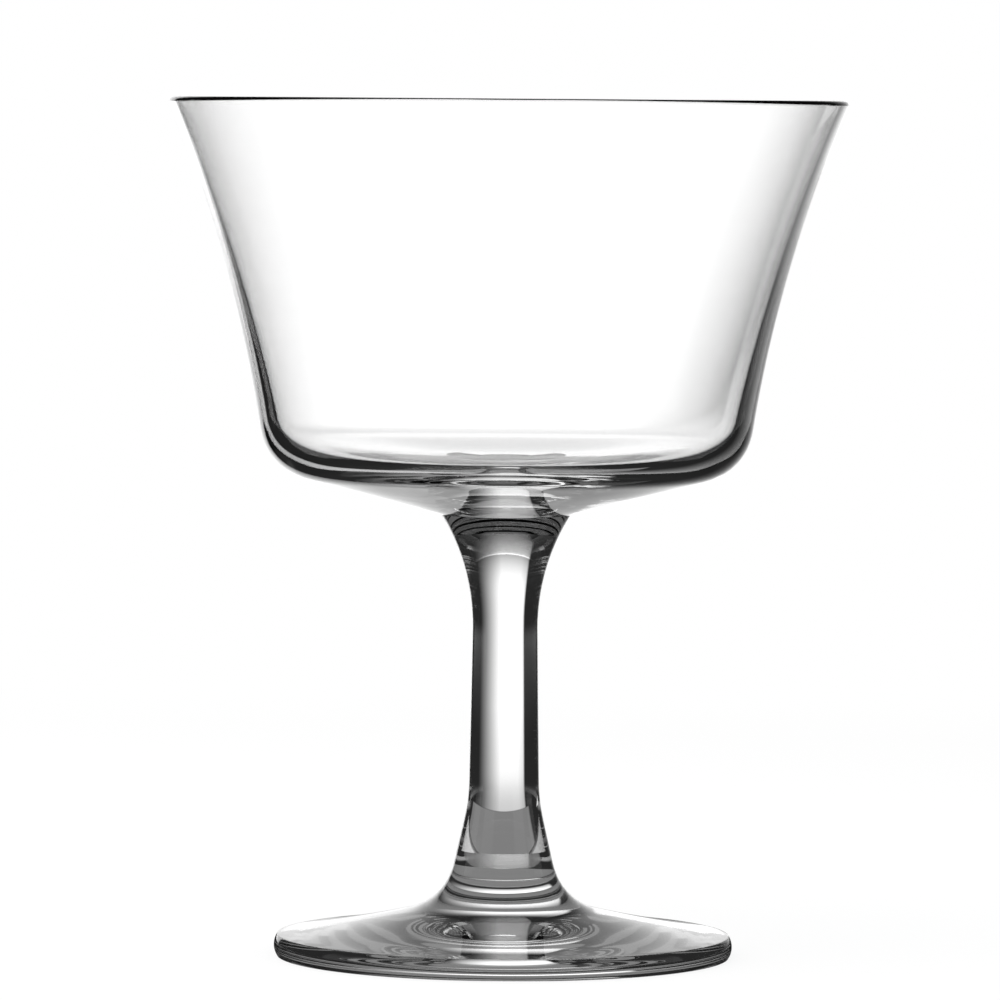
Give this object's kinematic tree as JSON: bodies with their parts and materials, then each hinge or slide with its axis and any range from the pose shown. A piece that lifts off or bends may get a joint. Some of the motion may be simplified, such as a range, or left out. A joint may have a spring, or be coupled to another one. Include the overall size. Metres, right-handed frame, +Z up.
{
  "type": "coupe glass",
  "caption": "Stemmed coupe glass with a flared bowl on a thick glass base, a slender stem with a flared top, and a disc foot with a drawn-up neck.",
  "frame": {"origin": "centre of the plane that the foot stands on", "axes": "+Z up the axis of turning, from the foot to the rim; +X and +Y across, and the glass is the same all round"},
  "size_m": [0.09, 0.09, 0.114],
  "materials": {
    "clear_glass": "clear, colourless, fire-polished"
  },
  "bodies": {
    "root": {"bowl": "clear_glass", "stem": "clear_glass", "foot": "clear_glass"}
  },
  "joints": []
}
